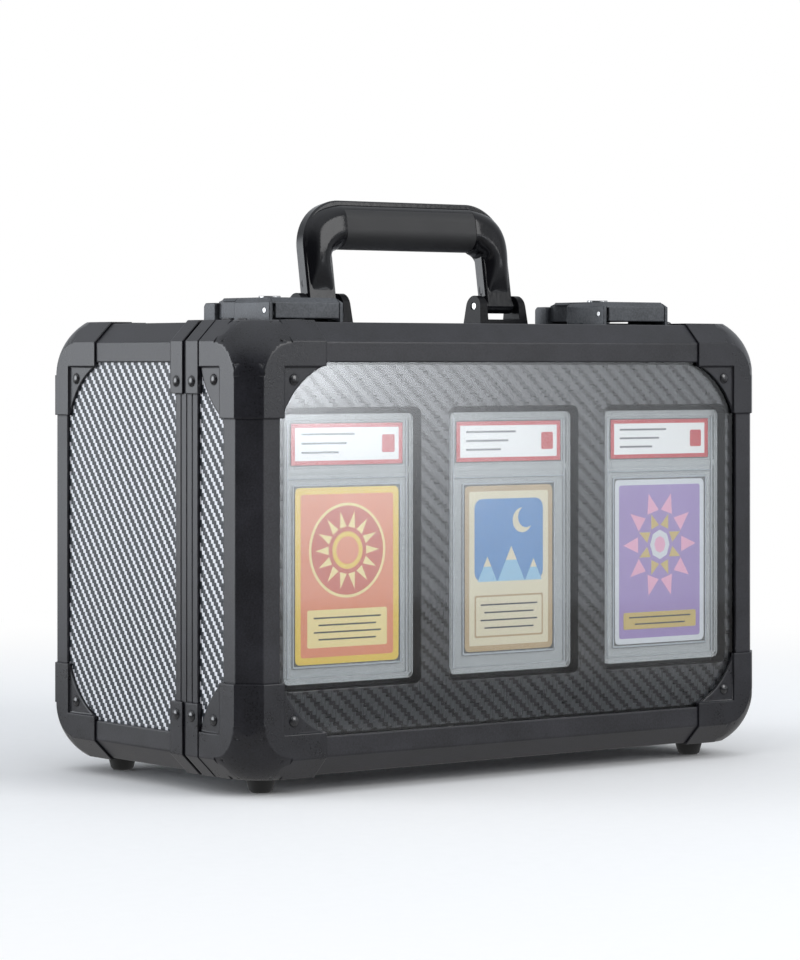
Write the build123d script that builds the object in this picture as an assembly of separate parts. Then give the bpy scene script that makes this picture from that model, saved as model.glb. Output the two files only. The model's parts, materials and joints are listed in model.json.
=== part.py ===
from build123d import *
from math import cos, radians, sin, sqrt, tan
import os

# Graded card case, closed and standing on its four feet.
# All sizes in millimetres. The case is drawn with x from its middle, y from the front face
# and z from its underside; at the end everything is moved so that the origin is on the
# ground under the middle of the case.

# Overall body
case_width = 346.0
case_depth = 185.0
case_height = 227.0
lid_depth = 52.5
foot_height = 9.0
parting_gap = 0.6

# Edge profiles: a bevelled folded section with a groove for the panels
bevel_leg = 10.0
band_width = 10.2
profile_wall = 1.6
panel_thickness = 3.0
groove_play = 0.2
inner_lip = 1.2
inner_lip_setback = 2.0
groove_floor = 11.5
panel_end_play = 0.3
panel_corner = 5.0
profile_end_play = 0.5

# Mouth frames at the parting plane
mouth_frame_depth = 9.4
tongue_length = 3.0
tongue_wall = 1.8
tongue_inset = 2.5
tongue_play = 0.3
tongue_start = 30.0
tongue_lead = 6.0
panel_bite = 2.2
shadow_groove = 0.6

# Corner caps
cap_leg = 48.0
lid_cap_leg = 40.4
cap_proud = 1.0
cap_border = 22.3
cap_web_drop = 0.2
cap_ball_centre = 27.0
cap_ball_extra = 0.25
cap_play = 0.1
gusset_pull = 9.6
gusset_root = 0.6
lid_gusset_mid = (34.5, 35.0)
rivet_inset = 28.8

# Bent clips at the mouth
clip_thickness = 1.2
clip_leg = 36.0
clip_width = 10.8
clip_setback = 2.0
lid_clip_setback = 0.4
clip_rivet_inset = 29.7

# Rivets and feet
rivet_head = 6.0
rivet_rise = 1.3
rivet_taper = 42.0
rivet_sides = 8
rivet_shank = 3.2
shank_sides = 6
foot_top = 15.6
foot_bottom = 12.0
foot_round = 1.2

# Display tray, slabs and their contents
tray_gap = 0.4
tray_thickness = 12.0
recess_width = 86.5
recess_height = 141.0
recess_round = 4.0
recess_floor = 2.2
interior_play = 0.5
interior_corner = 14.0
slab_width = 81.0
slab_height = 135.0
slab_thickness = 6.5
slab_side_gap = 68.0
slab_round = 3.0
slab_seat_play = 0.3
slab_rim = 3.0
slab_rim_rise = 0.6
label_width = 70.0
label_height = 21.0
label_thickness = 0.6
label_rise = 52.2
card_thickness = 0.6
card_drop = 13.8
card_sizes = {"left": (65.0, 88.7), "centre": (59.0, 86.0), "right": (64.0, 88.2)}
pocket_play = 0.2
pad_thickness = 12.0

# Foam insert
foam_front = 56.0
foam_floor = 7.0
well_width = 84.0
well_margin = 8.0
scallop_radius = 16.0
scallop_depth = 26.0

# Handle
handle_pivot_depth = 94.0
handle_pivot_rise = 10.7
handle_lean = 9.3
handle_side_gap = 103.5
handle_leg_width = 18.5
handle_strap = 8.0
handle_reach = 56.0
handle_corner = 26.0
handle_opening_reach = 30.0
grip_depth = 20.0
grip_rise = 24.0
grip_shoulder = 25.5
handle_elbow = 16.0
arm_width = 17.8
arm_depth = 18.0
arm_mid_depth = 13.0
handle_edge_bevel = 1.0
grip_top_line = 50.3
sleeve_wall = 1.8
handle_pin_diameter = 4.0
pin_play = 0.05

# Handle brackets
bracket_ear = 6.0
ear_side_play = 1.75
bracket_length = 16.0
bracket_floor = 5.0
bracket_draft = 1.6
ear_rise = 5.8

# Latches
latch_side_gap = 61.7
latch_width = 46.4
latch_front = 35.2
latch_rear = 94.0
latch_rise = 12.8
cheek_wall = 2.0
cheek_rear = 66.3
cheek_play = 0.3
latch_pin_depth = 39.7
latch_pin_rise = 6.2
latch_pin_diameter = 3.0
cover_wall = 1.6
cover_rear = 83.2
cover_lift = 2.3
cover_bevel = 2.6
cover_front_setback = 0.2
cover_rear_slope = 6.2
cover_rear_drop = 1.8
cover_lip_setback = 4.0
front_plate_inset = 3.4
catch_play = 0.4
catch_height = 10.5
catch_bevel = 1.6
hook_half_width = 6.0
hook_gap = 2.4
hook_wall = 2.4
hook_reach = 1.9
hook_lip = 1.6
latch_plate = 1.2
plate_front = 46.2
lock_depth = 67.6
lock_flange = 11.4
lock_flange_rise = 1.2
lock_barrel = 9.0
lock_barrel_length = 9.0
keyway_width = 1.6
keyway_length = 6.0
keyway_depth = 4.0
lock_seat_play = 0.1
cam_reach = 6.2
cam_width = 4.0

# Hinges under the case
hinge_side_gap = 78.0
hinge_width = 52.0
hinge_leaf = 13.0
hinge_sheet = 1.5
hinge_knuckle = 5.4
hinge_pin = 2.6
knuckle_play = 0.3

# How far a cut runs past what it cuts
beyond = 20.0

# Derived sizes
half_width = case_width / 2
slab_pitch = half_width - slab_side_gap
slab_centre_height = case_height / 2
latch_middle = half_width - latch_side_gap
hinge_place = half_width - hinge_side_gap
handle_half_width = half_width - handle_side_gap
grip_half_length = handle_half_width - grip_shoulder
handle_leg = handle_half_width - handle_leg_width / 2
pivot_height = case_height + handle_pivot_rise
cap_inner_corner = interior_corner + 2 * interior_play
groove = panel_thickness + groove_play
inner_face = profile_wall + groove + inner_lip
panel_edge = groove_floor + panel_end_play
lip_end = bevel_leg + band_width
interior = inner_face + interior_play
lid_rear = lid_depth - parting_gap / 2
main_front = lid_depth + parting_gap / 2
lid_frame_front = lid_rear - mouth_frame_depth
main_frame_rear = main_front + mouth_frame_depth
profile_end = lip_end + profile_end_play
frame_slot = panel_bite + groove_play
slab_places = {"left": -slab_pitch, "centre": 0.0, "right": slab_pitch}
main_clip_front = main_front + clip_setback
main_clip_rivet = main_clip_front + clip_width / 2
lid_clip_rear = lid_rear - lid_clip_setback
lid_clip_rivet = lid_clip_rear - clip_width / 2
tray_front = profile_wall + panel_thickness + tray_gap
tray_back = tray_front + tray_thickness
slab_back = tray_back - recess_floor - slab_seat_play
slab_front = slab_back - slab_thickness
slab_split = (slab_front + slab_back) / 2
panel_face = case_height - profile_wall
ground = Location((0, -case_depth / 2, foot_height))


def block(x0, x1, y0, y1, z0, z1):
    """A box between two corners."""
    centre = Location(((x0 + x1) / 2, (y0 + y1) / 2, (z0 + z1) / 2))
    return centre * Box(x1 - x0, y1 - y0, z1 - z0)


def rod(centre, axis, radius, length):
    """A round bar centred on a point, along one of the three axes."""
    turn = {"x": (0, 90, 0), "y": (90, 0, 0), "z": (0, 0, 0)}[axis]
    return Location(centre, turn) * Cylinder(radius, length)


def upright(sketch, y0, y1):
    """Extrudes a sketch drawn in x and z from y0 to y1."""
    wall = Plane(origin=(0, y1, 0), x_dir=(1, 0, 0), z_dir=(0, -1, 0))
    return extrude(wall * sketch, amount=y1 - y0)


def across(points, x0, x1):
    """Extrudes a polygon drawn in y and z from x0 to x1."""
    side = Plane(origin=(x0, 0, 0), x_dir=(0, 1, 0), z_dir=(1, 0, 0))
    return extrude(side * Polygon(*points, align=None), amount=x1 - x0)


def aimed(piece, place, outward):
    """Turns a piece drawn along +z to point outwards at a place."""
    across_it = (1, 0, 0) if outward[2] else (0, 0, 1)
    return Plane(origin=place, x_dir=across_it, z_dir=outward).location * piece


def shank_hole(place, outward, depth):
    """What is cut for a rivet's shank, to a depth both ways from a place."""
    bar = extrude(RegularPolygon(rivet_shank / 2, shank_sides), depth, both=True)
    return aimed(bar, place, outward)


def octagon(inset):
    """Outline of the case seen from the front, moved inwards by inset."""
    leg = bevel_leg - inset * (2 - sqrt(2))
    x = half_width - inset
    z0 = inset
    z1 = case_height - inset
    points = [
        (-x + leg, z0), (x - leg, z0), (x, z0 + leg), (x, z1 - leg),
        (x - leg, z1), (-x + leg, z1), (-x, z1 - leg), (-x, z0 + leg),
    ]
    return Polygon(*points, align=None)


def inner_box(inset):
    """Square-cornered outline of the inside of the case, seen from the front."""
    middle = Location((0, case_height / 2))
    return middle * Rectangle(case_width - 2 * inset, case_height - 2 * inset)


def interior_outline():
    """Outline of what fills the inside of the case, with rounded corners."""
    outline = inner_box(interior)
    return fillet(outline.vertices(), interior_corner)


def edge_section():
    """Section of an edge profile; both outer faces start at the origin."""
    tip = lip_end
    back = lip_end - inner_lip_setback
    half = [
        (0, tip), (0, bevel_leg), (bevel_leg, 0), (tip, 0), (tip, profile_wall),
        (groove_floor, profile_wall), (groove_floor, profile_wall + groove),
        (back, profile_wall + groove), (back, inner_face), (inner_face, inner_face),
        (inner_face, back), (profile_wall + groove, back),
        (profile_wall + groove, groove_floor), (profile_wall, groove_floor),
        (profile_wall, tip),
    ]
    return Polygon(*half, align=None)


def edge_bar(middle, first, second, length):
    """An edge profile centred on a point of the case's sharp edge line."""
    along = Vector(*first).cross(Vector(*second))
    start = Vector(*middle) - along * (length / 2)
    plane = Plane(origin=start, x_dir=first, z_dir=along)
    return extrude(plane * edge_section(), amount=length)


def face_edges(y, inward):
    """Four edge profiles round the front or rear face; each stops under the caps."""
    width = case_width - 2 * profile_end
    height = case_height - 2 * profile_end
    middle = case_height / 2
    return [
        edge_bar((0, y, 0), (0, inward, 0), (0, 0, 1), width),
        edge_bar((0, y, case_height), (0, inward, 0), (0, 0, -1), width),
        edge_bar((-half_width, y, middle), (1, 0, 0), (0, inward, 0), height),
        edge_bar((half_width, y, middle), (-1, 0, 0), (0, inward, 0), height),
    ]


def corner_edges(y0, y1):
    """Four edge profiles that run from front to back between y0 and y1."""
    bars = []
    for side in (-1, 1):
        for z, up in ((0, 1), (case_height, -1)):
            place = (side * half_width, (y0 + y1) / 2, z)
            bars.append(edge_bar(place, (-side, 0, 0), (0, 0, up), y1 - y0))
    return bars


def face_panel(y0, y1):
    """Window or rear panel, held in the grooves of the four edges."""
    outline = inner_box(panel_edge)
    outline = chamfer(outline.vertices(), panel_corner)
    plate = upright(outline, y0, y1)
    for side in (-1, 1):
        x = side * (half_width - rivet_inset)
        for z in (rivet_inset, case_height - rivet_inset):
            plate -= shank_hole((x, (y0 + y1) / 2, z), (0, 1, 0), panel_thickness)
    return plate


def side_panel(side, y0, y1, outer_end, rivet_y):
    """Side panel of the lid or the main shell, clipped at the corners that the caps cover."""
    x = side * (half_width - profile_wall - panel_thickness / 2)
    half = panel_thickness / 2
    plate = block(x - half, x + half, y0, y1, panel_edge, case_height - panel_edge)
    edges = plate.edges().filter_by(Axis.X).filter_by(lambda e: abs(e.center().Y - outer_end) < half)
    plate = chamfer(edges, panel_corner)
    for z in (rivet_inset, case_height - rivet_inset):
        plate -= shank_hole((x, rivet_y, z), (1, 0, 0), panel_thickness)
    return plate


def level_panel(top, y0, y1, outer_end, rivet_y):
    """Top or bottom panel of the lid or the main shell, clipped in the same way."""
    z = profile_wall + panel_thickness / 2
    z = case_height - z if top else z
    half = panel_thickness / 2
    reach = half_width - panel_edge
    plate = block(-reach, reach, y0, y1, z - half, z + half)
    edges = plate.edges().filter_by(Axis.Z).filter_by(lambda e: abs(e.center().Y - outer_end) < half)
    plate = chamfer(edges, panel_corner)
    for side in (-1, 1):
        x = side * (half_width - rivet_inset)
        plate -= shank_hole((x, rivet_y, z), (0, 0, 1), panel_thickness)
    return plate


def mouth_frame(front, rear, slot_front, slot_rear):
    """Closed frame of the mouth with a slot for the panels and a shadow groove outside."""
    frame = upright(octagon(0) - inner_box(inner_face), front, rear)
    slot = octagon(profile_wall) - inner_box(profile_wall + groove)
    frame -= upright(slot, slot_front, slot_rear)
    middle = (front + rear) / 2
    line = octagon(0) - octagon(shadow_groove)
    frame -= upright(line, middle - shadow_groove / 2, middle + shadow_groove / 2)
    return frame


def clip_rivet_places(y, lift):
    """Head places and directions of the rivets of the four mouth clips."""
    places = []
    for side in (-1, 1):
        x = side * (half_width + lift)
        for z in (clip_rivet_inset, case_height - clip_rivet_inset):
            places.append(((x, y, z), (side, 0, 0)))
        x = side * (half_width - clip_rivet_inset)
        places.append(((x, y, case_height + lift), (0, 0, 1)))
        places.append(((x, y, -lift), (0, 0, -1)))
    return places


def drill_clip_holes(frame, y):
    """Blind holes in a mouth frame for the shanks of the clip rivets."""
    for place, outward in clip_rivet_places(y, 0):
        frame -= shank_hole(place, outward, profile_wall)
    return frame


def above(part, z):
    """Keeps what lies above a height."""
    return part & block(-case_width, case_width, 0, case_depth, z, case_height * 2)


def main_mouth():
    slot_start = main_frame_rear - frame_slot
    frame = mouth_frame(main_front, main_frame_rear, slot_start, main_frame_rear)
    ring = octagon(tongue_inset) - octagon(tongue_inset + tongue_wall)
    tongue = upright(ring, main_front - tongue_length, main_front)
    frame += above(tongue, tongue_start)
    return drill_clip_holes(frame, main_clip_rivet)


def lid_mouth():
    slot_end = lid_frame_front + frame_slot
    frame = mouth_frame(lid_frame_front, lid_rear, lid_frame_front, slot_end)
    outer = octagon(tongue_inset - tongue_play)
    inner = octagon(tongue_inset + tongue_wall + tongue_play)
    depth = tongue_length + tongue_play
    cut = upright(outer - inner, lid_rear - depth, lid_rear)
    frame -= above(cut, tongue_start - tongue_lead)
    return drill_clip_holes(frame, lid_clip_rivet)


def bevel_wedge(axis, limit, reach):
    """Prism outside the bevel of one edge of a cap."""
    far = beyond
    triangle = Polygon((-far, -far), (limit + far, -far), (-far, limit + far), align=None)
    planes = {
        "x": Plane(origin=(-far, 0, 0), x_dir=(0, 1, 0), z_dir=(1, 0, 0)),
        "y": Plane(origin=(0, -far, 0), x_dir=(0, 0, 1), z_dir=(0, 1, 0)),
        "z": Plane(origin=(0, 0, -far), x_dir=(1, 0, 0), z_dir=(0, 0, 1)),
    }
    return extrude(planes[axis] * triangle, amount=reach + 2 * far)


def cap_channel(axis, start, reach):
    """Room inside a cap's leg for the edge profile and the panels."""
    lip = lip_end + cap_play
    far = cap_leg + beyond
    half = [
        (0, bevel_leg), (bevel_leg, 0), (lip, 0), (lip, profile_wall), (far, profile_wall),
        (far, far), (profile_wall, far), (profile_wall, lip), (0, lip),
    ]
    planes = {
        "x": Plane(origin=(start, 0, 0), x_dir=(0, 1, 0), z_dir=(1, 0, 0)),
        "y": Plane(origin=(0, start, 0), x_dir=(0, 0, 1), z_dir=(0, 1, 0)),
        "z": Plane(origin=(0, 0, start), x_dir=(1, 0, 0), z_dir=(0, 0, 1)),
    }
    return extrude(planes[axis] * Polygon(*half, align=None), amount=reach)


def gusset(plane, first, second, middle):
    """Thin web in the angle of two legs, with a curved free edge."""
    root = cap_border - gusset_root
    outline = Polyline((root, second), (root, root), (first, root))
    edge = ThreePointArc((first, root), middle, (root, second))
    return extrude(plane * make_face([outline, edge]), amount=profile_wall - cap_web_drop)


def corner_cap(leg_y, side_mid):
    """Three-way cap for the corner at the origin, with legs along +x, +y and +z."""
    proud = cap_proud
    leg = cap_leg
    shell = block(-proud, leg, -proud, leg_y, -proud, leg)
    limit = bevel_leg - proud * sqrt(2)
    for axis in "xyz":
        shell -= bevel_wedge(axis, limit, leg)
    centre = cap_ball_centre
    radius = (2 * centre - limit) / sqrt(2) + cap_ball_extra
    ball = Location((centre, centre, centre)) * Sphere(radius)
    start = -beyond
    shell -= block(start, centre, start, centre, start, centre) - ball
    border = cap_border
    arms = block(start, leg, start, border, start, border)
    arms += block(start, border, start, leg_y, start, border)
    arms += block(start, border, start, border, start, leg)
    shell &= arms
    for axis in "xyz":
        shell -= cap_channel(axis, profile_end, leg)
    far = leg + beyond
    round_edge = cap_inner_corner
    room = Polygon(
        (inner_face, inner_face), (far, inner_face), (far, far), (inner_face, far), align=None
    )
    room = fillet(room.vertices().sort_by(lambda v: v.X + v.Y)[0], round_edge)
    shell -= upright(room, inner_face, far)
    drop = cap_web_drop
    front = Plane(origin=(0, drop, 0), x_dir=(0, 0, 1), z_dir=(0, 1, 0))
    side = Plane(origin=(drop, 0, 0), x_dir=(0, 1, 0), z_dir=(1, 0, 0))
    level = Plane(origin=(0, 0, drop), x_dir=(1, 0, 0), z_dir=(0, 0, 1))
    low = groove_floor
    clip = low + panel_corner
    slot = Polygon((low, far), (low, clip), (clip, low), (far, low), (far, far), align=None)
    for plane in (front, side, level):
        shell -= extrude(plane.offset(profile_wall - drop) * slot, amount=groove)
    inner = border + gusset_pull
    shell += gusset(front, leg, leg, (inner, inner))
    shell += gusset(side, leg_y, leg, side_mid)
    shell += gusset(level, leg, leg_y, (side_mid[1], side_mid[0]))
    inset = rivet_inset
    shell -= shank_hole((inset, 0, inset), (0, 1, 0), 2 * profile_wall)
    shell -= shank_hole((0, inset, inset), (1, 0, 0), 2 * profile_wall)
    return shell - shank_hole((inset, inset, 0), (0, 0, 1), 2 * profile_wall)


def at_corners(piece, rear):
    """Places a piece made for the corner at the origin on four corners of one face."""
    first = Location((-half_width, 0, 0)) * piece
    if rear:
        first = mirror(first, about=Plane.XZ.offset(-case_depth / 2))
    second = mirror(first, about=Plane.YZ)
    middle = Plane.XY.offset(case_height / 2)
    return {
        "bottom_left": first,
        "bottom_right": second,
        "top_left": mirror(first, about=middle),
        "top_right": mirror(second, about=middle),
    }


def mouth_clip(y0, y1, panel_start, panel_end):
    """Bent clip round one long edge at the mouth, for the corner at x and z of zero."""
    out = clip_thickness
    leg = clip_leg
    bevel = bevel_leg
    skew = out * (sqrt(2) - 1)
    outline = [
        (-out, leg), (-out, bevel - skew), (bevel - skew, -out), (leg, -out),
        (leg, 0), (bevel, 0), (0, bevel), (0, leg),
    ]
    clip = upright(Polygon(*outline, align=None), y0, y1)
    lip = lip_end + cap_play
    clip += block(0, profile_wall, panel_start, panel_end, lip, leg)
    clip += block(lip, leg, panel_start, panel_end, 0, profile_wall)
    middle = (y0 + y1) / 2
    clip -= shank_hole((0, middle, clip_rivet_inset), (1, 0, 0), 2 * out)
    return clip - shank_hole((clip_rivet_inset, middle, 0), (0, 0, 1), 2 * out)


def rivet(depth):
    """Rivet with a bevelled many-sided head at z of zero and its shank down to depth."""
    crown = extrude(RegularPolygon(rivet_head / 2, rivet_sides), rivet_rise, taper=rivet_taper)
    return crown + extrude(RegularPolygon(rivet_shank / 2, shank_sides), -depth)


def cap_rivets(y, outward_y, y_side):
    """Rivets of the four caps of one face, apart from the two that the feet replace."""
    web = -cap_web_drop
    group = []
    reach = profile_wall - cap_web_drop + panel_thickness
    for side in (-1, 1):
        x = side * (half_width - rivet_inset)
        for z in (rivet_inset, case_height - rivet_inset):
            place = (x, y + outward_y * web, z)
            group.append(aimed(rivet(reach), place, (0, outward_y, 0)))
            group.append(aimed(rivet(reach), (side * (half_width + web), y_side, z), (side, 0, 0)))
        group.append(aimed(rivet(reach), (x, y_side, case_height + web), (0, 0, 1)))
    return group


def clip_rivets(y):
    """Rivets of the four mouth clips, two on each."""
    piece = rivet(clip_thickness + profile_wall)
    return [aimed(piece, *place) for place in clip_rivet_places(y, clip_thickness)]


def foot(x, y):
    """Tapered rubber foot with a rounded tread and a spigot in the cap's hole."""
    top = foot_top / 2
    low = foot_bottom / 2
    neck = rivet_inset - cap_border - cap_play
    web = cap_web_drop
    skirt = -cap_proud - cap_play
    tread = foot_round
    outline = Polyline(
        (0, web), (neck, web), (neck, skirt), (top, skirt), (low, tread - foot_height),
        (low - tread, -foot_height), (0, -foot_height), (0, web),
    )
    body = revolve(Plane.XZ * make_face(outline), axis=Axis.Z)
    reach = profile_wall + panel_thickness
    spigot = extrude(RegularPolygon(rivet_shank / 2, shank_sides), reach)
    return Location((x, y, 0)) * (body + spigot)


def feet(y):
    x = half_width - rivet_inset
    return [foot(-x, y), foot(x, y)]


def display_tray():
    """Board behind the window with one rounded recess for each slab."""
    edge = profile_end + tray_gap
    tray = upright(interior_outline(), inner_face + tray_gap, tray_back)
    tray += upright(inner_box(edge), tray_front, inner_face + tray_gap)
    for x in slab_places.values():
        recess = RectangleRounded(recess_width, recess_height, recess_round)
        place = Location((x, slab_centre_height))
        tray -= upright(place * recess, tray_front, tray_back - recess_floor)
    return tray


def slab(x, card):
    """Clear two-part holder: front and back shell with pockets for label and card."""
    z = slab_centre_height
    outline = Location((x, z)) * RectangleRounded(slab_width, slab_height, slab_round)
    front = upright(outline, slab_front, slab_split)
    back = upright(outline, slab_split, slab_back)
    rim = slab_rim
    field = slab_front + slab_rim_rise
    label_field = Rectangle(slab_width - 2 * rim, label_height + rim)
    label_z = z + label_rise
    front -= upright(Location((x, label_z)) * label_field, slab_front, field)
    low = z - slab_height / 2 + rim
    high = label_z - label_height / 2 - rim * 1.5
    card_field = Rectangle(slab_width - 2 * rim, high - low)
    front -= upright(Location((x, (low + high) / 2)) * card_field, slab_front, field)
    depth = card_thickness + 2 * pocket_play
    room = 2 * pocket_play
    label_pocket = Location((x, label_z)) * Rectangle(label_width + room, label_height + room)
    front -= upright(label_pocket, slab_split - depth, slab_split)
    card_pocket = Location((x, z - card_drop)) * Rectangle(card[0] + room, card[1] + room)
    front -= upright(card_pocket, slab_split - depth, slab_split)
    return [front, back]


def slab_insert(x, z, width, height, thickness):
    """A label or a card, lying in its pocket of the slab."""
    sheet = Location((x, z)) * Rectangle(width, height)
    back = slab_split - pocket_play
    return upright(sheet, back - thickness, back)


def foam_insert():
    """Foam block of the main shell with three wells and finger scallops between them."""
    rear = case_depth - interior
    foam = upright(interior_outline(), foam_front, rear)
    low = interior + well_margin
    high = case_height - interior - well_margin
    for x in slab_places.values():
        half = well_width / 2
        foam -= block(x - half, x + half, foam_front, rear - foam_floor, low, high)
    reach = slab_pitch + well_width / 2
    scallop = rod((0, foam_front, case_height / 2), "x", scallop_radius, 2 * reach)
    return foam - scallop


def grip_section(place, turn, rise, depth):
    """Rounded section of the grip or of a leg, square to the handle's line."""
    angle = radians(turn)
    outward = (sin(angle), 0, cos(angle))
    along = (cos(angle), 0, -sin(angle))
    plane = Plane(origin=(place[0], 0, place[1]), x_dir=outward, z_dir=along)
    return plane * RectangleRounded(rise, depth, min(rise, depth) * 0.47)


def handle_parts():
    """Handle frame and grip sleeve, upright with the pin axis at the origin."""
    outer = handle_half_width
    inner = outer - handle_leg_width
    reach = handle_reach
    bend = handle_corner
    strap = handle_strap
    swing = handle_leg - handle_elbow
    outside = Location((0, reach / 2)) * Rectangle(2 * outer, reach)
    outside = fillet(outside.vertices().sort_by(Axis.Y)[-2:], bend)
    crown = handle_opening_reach + grip_rise / 3
    inside = Location((0, crown / 2)) * Rectangle(2 * inner, crown)
    inside = fillet(inside.vertices().sort_by(Axis.Y)[-2:], bend / 3)
    band = upright(outside - inside, -strap / 2, strap / 2)
    rims = [e for e in band.edges() if abs(abs(e.center().Y) - strap / 2) < 0.01]
    rims = [e for e in rims if e.center().Z > 0.1]
    band = chamfer(rims, handle_edge_bevel)
    for side in (-1, 1):
        band += rod((side * handle_leg, 0, 0), "x", strap / 2, handle_leg_width)
    middle = handle_opening_reach + grip_rise / 2
    elbow = handle_elbow
    low = middle - elbow
    sections = []
    for turn in (0, 30, 60, 90):
        angle = radians(turn)
        share = (1 - cos(angle)) ** 1.5
        rise = grip_rise + (arm_width - grip_rise) * share
        depth = grip_depth + (arm_depth - grip_depth) * share
        place = (swing + elbow * sin(angle), low + elbow * cos(angle))
        sections.append(grip_section(place, turn, rise, depth))
    sections.append(grip_section((handle_leg, low * 0.58), 90, arm_width, arm_mid_depth))
    sections.append(grip_section((handle_leg, low * 0.2), 90, arm_width - 1, strap - 0.5))
    arm = loft(sections)
    bar = extrude(grip_section((-swing, middle), 0, grip_rise, grip_depth), amount=2 * swing)
    body = band + bar + arm + mirror(arm, about=Plane.YZ)
    wall = sleeve_wall
    end = grip_half_length
    start = grip_section((-end, middle), 0, grip_rise, grip_depth)
    core = grip_section((-end, middle), 0, grip_rise - 2 * wall, grip_depth - 2 * wall)
    sleeve = extrude(start, amount=2 * end) - extrude(core, amount=2 * end)
    lower = block(-end, end, -grip_depth, grip_depth, 0, grip_top_line)
    sleeve &= lower
    around = grip_section((-end, middle), 0, grip_rise + 2 * wall, grip_depth + 2 * wall)
    body -= (extrude(around, amount=2 * end) - extrude(core, amount=2 * end)) & lower
    body -= rod((0, 0, 0), "x", handle_pin_diameter / 2 + pin_play, 2 * outer + beyond)
    lean = Location((0, handle_pivot_depth, pivot_height), (-handle_lean, 0, 0))
    return lean * body, lean * sleeve


def handle_bracket(side):
    """Clevis on the top panel that carries one end of the handle."""
    x = side * handle_leg
    half = handle_leg_width / 2 + ear_side_play
    outer = half + bracket_ear
    y = handle_pivot_depth
    foot_half = bracket_length / 2
    waist = foot_half - bracket_draft
    base = panel_face
    top = pivot_height + ear_rise
    outline = Polyline(
        (y - waist, pivot_height), (y - foot_half, base), (y + foot_half, base),
        (y + waist, pivot_height),
    )
    crown = ThreePointArc((y + waist, pivot_height), (y, top), (y - waist, pivot_height))
    profile = Plane(origin=(x - outer, 0, 0), x_dir=(0, 1, 0), z_dir=(1, 0, 0))
    body = extrude(profile * make_face([outline, crown]), amount=2 * outer)
    draft = bracket_draft
    front = [
        (x - outer, base), (x + outer, base), (x + outer - draft, top), (x - outer + draft, top),
    ]
    body &= upright(Polygon(*front, align=None), y - bracket_length, y + bracket_length)
    floor = base + bracket_floor
    wide = foot_half + beyond
    body -= block(x - half, x + half, y - wide, y + wide, floor, top + beyond)
    return body - rod((x, y, pivot_height), "x", handle_pin_diameter / 2, 2 * outer + beyond)


def handle_pin(side):
    outer = handle_leg_width / 2 + ear_side_play + bracket_ear - bracket_draft
    place = (side * handle_leg, handle_pivot_depth, pivot_height)
    return rod(place, "x", handle_pin_diameter / 2, 2 * outer)


latch_half = latch_width / 2
latch_top = case_height + latch_rise
cheek_inner = latch_half - cheek_wall
cover_half = cheek_inner - cheek_play
cover_low = case_height + cover_lift
pin_height = case_height + latch_pin_rise


def latch_envelope():
    """Outside of a latch seen from the front, with its bevelled shoulders."""
    bevel = cover_bevel
    points = [
        (-latch_half, 0), (latch_half, 0), (latch_half, latch_top - bevel),
        (latch_half - bevel, latch_top), (-latch_half + bevel, latch_top),
        (-latch_half, latch_top - bevel),
    ]
    return upright(Polygon(*points, align=None), 0, case_depth)


def latch_base():
    """Base on the lid: two cheeks joined by a narrow plate behind the pin."""
    bevel = cover_bevel
    gap = parting_gap
    points = [
        (latch_front, panel_face), (lid_frame_front, panel_face), (lid_frame_front, case_height),
        (lid_rear, case_height), (lid_rear, case_height + gap), (cheek_rear, case_height + gap),
        (cheek_rear, latch_top), (latch_front + bevel, latch_top), (latch_front, latch_top - bevel),
    ]
    base = across(points, -latch_half, -cheek_inner)
    base += across(points, cheek_inner, latch_half)
    top = case_height + latch_plate
    base += block(-cheek_inner, cheek_inner, plate_front, lid_rear, case_height, top)
    base &= latch_envelope()
    return base - rod((0, latch_pin_depth, pin_height), "x", latch_pin_diameter / 2, latch_width + beyond)


def latch_cover():
    """Hinged cover between the cheeks, hollow below, with a finger lip at its rear."""
    bevel = cover_bevel
    front = latch_front + cover_front_setback
    points = [
        (front, cover_low), (cover_rear, cover_low), (cover_rear, latch_top - cover_rear_drop),
        (cover_rear - cover_rear_slope, latch_top), (front + bevel, latch_top),
        (front, latch_top - bevel),
    ]
    cover = across(points, -cover_half, cover_half)
    lip_front = cheek_rear + cheek_play
    lip = latch_top - cover_wall
    lip_rear = cover_rear - cover_lip_setback
    cover += block(-latch_half, latch_half, lip_front, lip_rear, lip, latch_top)
    cover &= latch_envelope()
    wall = cover_wall
    low = cover_low - beyond
    side = cover_half - wall
    cover -= block(-side, side, front + wall, cover_rear - wall, low, lip)
    cover -= block(-side, side, cover_rear - 2 * wall, cover_rear + beyond, low, pin_height + catch_play)
    slot_end = -cover_half + front_plate_inset - wall
    cover -= block(-cover_half - beyond, slot_end, 0, front + wall, low, lip - wall)
    bore = latch_pin_diameter / 2 + pin_play
    cover -= rod((0, latch_pin_depth, pin_height), "x", bore, latch_width)
    return cover - rod((0, lock_depth, latch_top), "z", lock_barrel / 2 + pin_play, beyond)


def latch_pin():
    return rod((0, latch_pin_depth, pin_height), "x", latch_pin_diameter / 2, latch_width)


def latch_catch():
    """Catch on the main shell: rear block, plate under the cover and hook for the cam."""
    start = cover_rear + catch_play
    top = case_height + catch_height
    points = [
        (start, panel_face), (latch_rear, panel_face), (latch_rear, top - catch_bevel),
        (latch_rear - catch_bevel, top), (start, top),
    ]
    catch = across(points, -latch_half, latch_half)
    plate_top = case_height - profile_wall + latch_plate
    catch += block(-cheek_inner, cheek_inner, main_frame_rear, start, panel_face, plate_top)
    half = hook_half_width
    post = lock_depth + lock_barrel / 2 + hook_gap
    top = pin_height
    catch += block(-half, half, post, post + hook_wall, panel_face, top)
    return catch + block(-half, half, post - hook_reach, post, top - hook_lip, top)


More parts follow.
